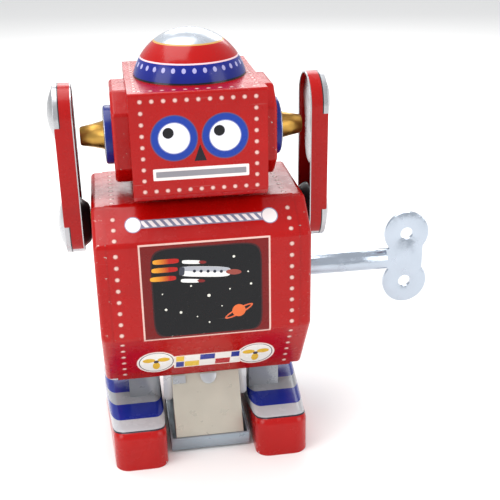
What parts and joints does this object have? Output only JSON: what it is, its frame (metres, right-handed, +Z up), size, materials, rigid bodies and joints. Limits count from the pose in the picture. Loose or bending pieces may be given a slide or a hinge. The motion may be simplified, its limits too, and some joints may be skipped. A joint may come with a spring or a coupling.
{
  "type": "wind-up walking robot toy",
  "caption": "Clockwork tin robot toy with a boxy body, square head under a dome, raised arms, striped boots and a winding key.",
  "frame": {"origin": "on the floor, under the middle of the whole object's bounding box with the key fitted", "axes": "+Z up, the robot faces -Y, +X is the side that the key is on, the viewer's right"},
  "size_m": [0.1072, 0.0498, 0.1146],
  "materials": {
    "litho_body": "gloss lithographed tin, red",
    "litho_head": "gloss lithographed tin, red",
    "litho_dome": "gloss lithographed tin in blue, red and silver bands",
    "blue_disc": "gloss lithographed tin, blue",
    "brass_cone": "polished brass",
    "litho_arm": "gloss lithographed tin, red with silver",
    "silver_tin": "bright tin plate",
    "dark_tin": "dark lacquered tin",
    "brass": "stamped brass",
    "steel": "bright steel",
    "spring_steel": "blued spring steel",
    "white_zinc": "white coated tin",
    "grey_leg": "dark grey lacquered tin",
    "litho_boot": "gloss lithographed tin, red with blue and silver bands",
    "roller": "moulded toothed roller",
    "beige_cover": "beige lacquered tin",
    "strip_blue": "blue-grey lacquered tin",
    "key_zinc": "bright zinc plated steel"
  },
  "bodies": {
    "case": {"body_wrap": "litho_body", "body_side_left": "litho_body", "body_side_right": "litho_body", "head_wrap": "litho_head", "head_side_left": "litho_head", "head_side_right": "litho_head", "ear_disc_left": "blue_disc", "ear_disc_right": "blue_disc", "ear_cone_left": "brass_cone", "ear_cone_right": "brass_cone", "dome": "litho_dome", "neck_collar": "litho_head", "neck_rivet": "steel", "frame_plate_left": "white_zinc", "frame_plate_right": "white_zinc", "frame_pillars": "steel", "pillar_rivets": "steel", "front_cover": "beige_cover", "rear_cover": "beige_cover", "foot_strip": "strip_blue", "cover_tabs": "silver_tin", "mainspring": "spring_steel", "hip_stub_left": "steel", "hip_stub_right": "steel", "hip_clips": "steel"},
    "left_arm": {"arm_shell_left": "litho_arm", "hand_plate_left": "silver_tin", "shoulder_plate_left": "dark_tin", "shoulder_stub_left": "brass", "shoulder_washer_left": "steel"},
    "left_leg": {"leg_column_left": "grey_leg", "boot_left": "litho_boot", "sole_left": "silver_tin", "roller_axle_left": "steel"},
    "left_roller": {"foot_roller_left": "roller"},
    "right_arm": {"arm_shell_right": "litho_arm", "hand_plate_right": "silver_tin", "shoulder_plate_right": "dark_tin", "shoulder_stub_right": "brass", "shoulder_washer_right": "steel"},
    "right_leg": {"leg_column_right": "grey_leg", "boot_right": "litho_boot", "sole_right": "silver_tin", "roller_axle_right": "steel"},
    "right_roller": {"foot_roller_right": "roller"},
    "crank": {"crank_axle": "steel", "crank_wheel": "brass", "crank_disc_left": "steel", "crank_disc_right": "steel"},
    "second": {"second_arbor": "steel", "second_wheel": "brass"},
    "great": {"great_wheel": "brass", "click_spring": "brass"},
    "click": {"click": "steel"},
    "governor": {"governor_arbor": "steel", "governor_fly": "brass"},
    "arbor": {"winding_arbor": "steel", "ratchet_wheel": "brass"},
    "key": {"winding_key": "key_zinc"}
  },
  "joints": [
    {"name": "left_arm_swing", "type": "hinge", "parent": "case", "child": "left_arm", "pos_m": [-0.04675, 0.0001, 0.064], "axis": [1, 0, 0], "continuous": true},
    {"name": "right_arm_swing", "type": "hinge", "parent": "case", "child": "right_arm", "pos_m": [0.01325, 0.0001, 0.064], "axis": [1, 0, 0], "range_deg": [-125, 170]},
    {"name": "left_leg_swing", "type": "hinge", "parent": "case", "child": "left_leg", "pos_m": [-0.02975, 0.0011, 0.05], "axis": [1, 0, 0], "range_deg": [-3, 3]},
    {"name": "right_leg_swing", "type": "hinge", "parent": "case", "child": "right_leg", "pos_m": [-0.00375, 0.0011, 0.05], "axis": [1, 0, 0], "range_deg": [-3, 3]},
    {"name": "left_roller_spin", "type": "hinge", "parent": "left_leg", "child": "left_roller", "pos_m": [-0.03615, 0.0041, 0.00302], "axis": [1, 0, 0], "continuous": true},
    {"name": "right_roller_spin", "type": "hinge", "parent": "right_leg", "child": "right_roller", "pos_m": [0.00265, 0.0041, 0.00302], "axis": [1, 0, 0], "continuous": true},
    {"name": "crank_turn", "type": "hinge", "parent": "case", "child": "crank", "pos_m": [-0.01675, 0.0011, 0.03], "axis": [1, 0, 0], "continuous": true},
    {"name": "second_turn", "type": "hinge", "parent": "case", "child": "second", "pos_m": [-0.01675, -0.00438, 0.04124], "axis": [1, 0, 0], "continuous": true},
    {"name": "great_turn", "type": "hinge", "parent": "case", "child": "great", "pos_m": [-0.01675, 0.0091, 0.042], "axis": [1, 0, 0], "continuous": true},
    {"name": "governor_turn", "type": "hinge", "parent": "case", "child": "governor", "pos_m": [-0.01675, -0.00365, 0.02177], "axis": [1, 0, 0], "continuous": true},
    {"name": "winding_turn", "type": "hinge", "parent": "case", "child": "arbor", "pos_m": [-0.01675, 0.0091, 0.042], "axis": [1, 0, 0], "continuous": true},
    {"name": "click_lift", "type": "hinge", "parent": "great", "child": "click", "pos_m": [-0.00845, 0.0091, 0.0492], "axis": [1, 0, 0], "range_deg": [0, 15], "stiffness_Nm_per_rad": 0.0002},
    {"name": "key_pull", "type": "slide", "parent": "arbor", "child": "key", "axis": [1, 0, 0], "range_m": [0, 0.006]}
  ],
  "couplings": [
    {"joint": "right_leg_swing", "follows": "left_leg_swing", "ratio": -1},
    {"joint": "second_turn", "follows": "crank_turn", "ratio": -0.25},
    {"joint": "great_turn", "follows": "crank_turn", "ratio": 0.056818},
    {"joint": "governor_turn", "follows": "crank_turn", "ratio": -3.75}
  ]
}
